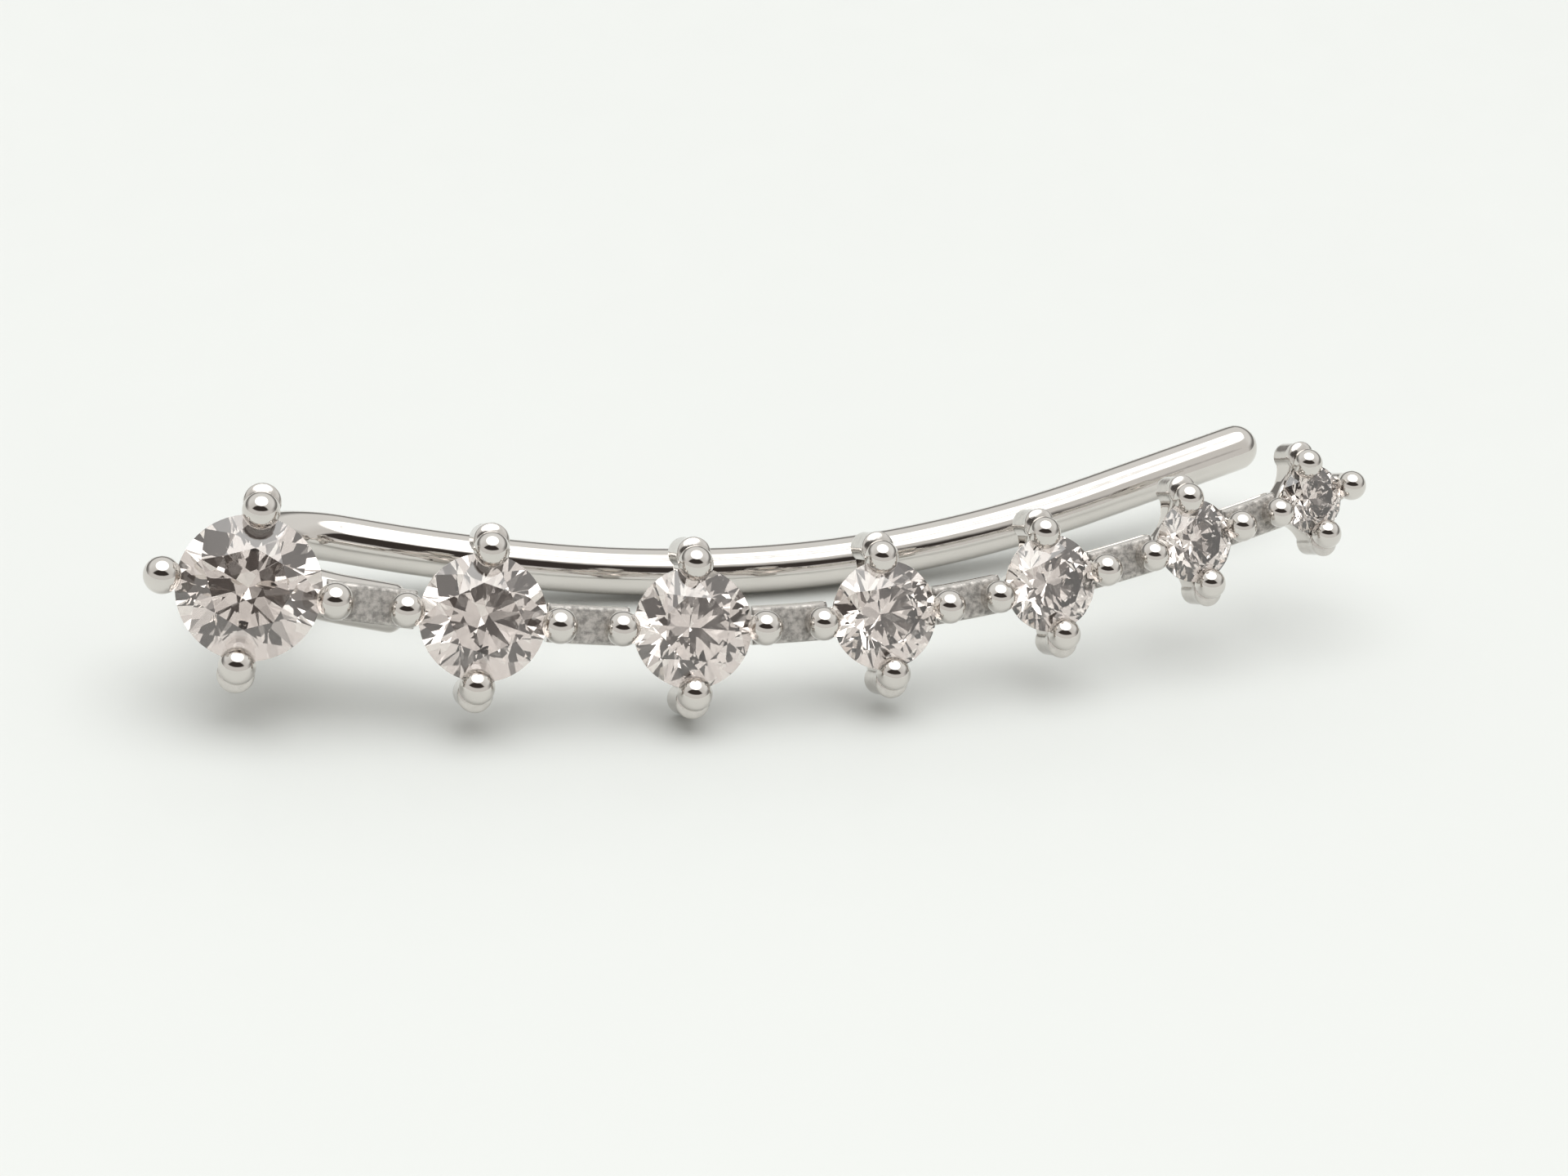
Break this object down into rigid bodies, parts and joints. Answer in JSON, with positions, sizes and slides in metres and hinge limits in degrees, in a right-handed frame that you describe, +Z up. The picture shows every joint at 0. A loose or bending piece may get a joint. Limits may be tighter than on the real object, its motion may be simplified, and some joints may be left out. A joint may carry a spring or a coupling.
{
  "type": "ear climber",
  "caption": "Curved ear climber with a graduated row of round stones in prong settings and an ear wire that bends back behind the row.",
  "frame": {"origin": "on the table that it rests on, under the middle of its box", "axes": "+Z up from the table, +X along the row from the largest stone to the smallest, and the stones face -Y and a little up"},
  "size_m": [0.0234, 0.007, 0.0042],
  "materials": {
    "silver": "high polish",
    "clear_stone": "faceted and polished"
  },
  "bodies": {
    "root": {"climber_frame": "silver", "stone_1": "clear_stone", "stone_2": "clear_stone", "stone_3": "clear_stone", "stone_4": "clear_stone", "stone_5": "clear_stone", "stone_6": "clear_stone", "stone_7": "clear_stone"}
  },
  "joints": []
}
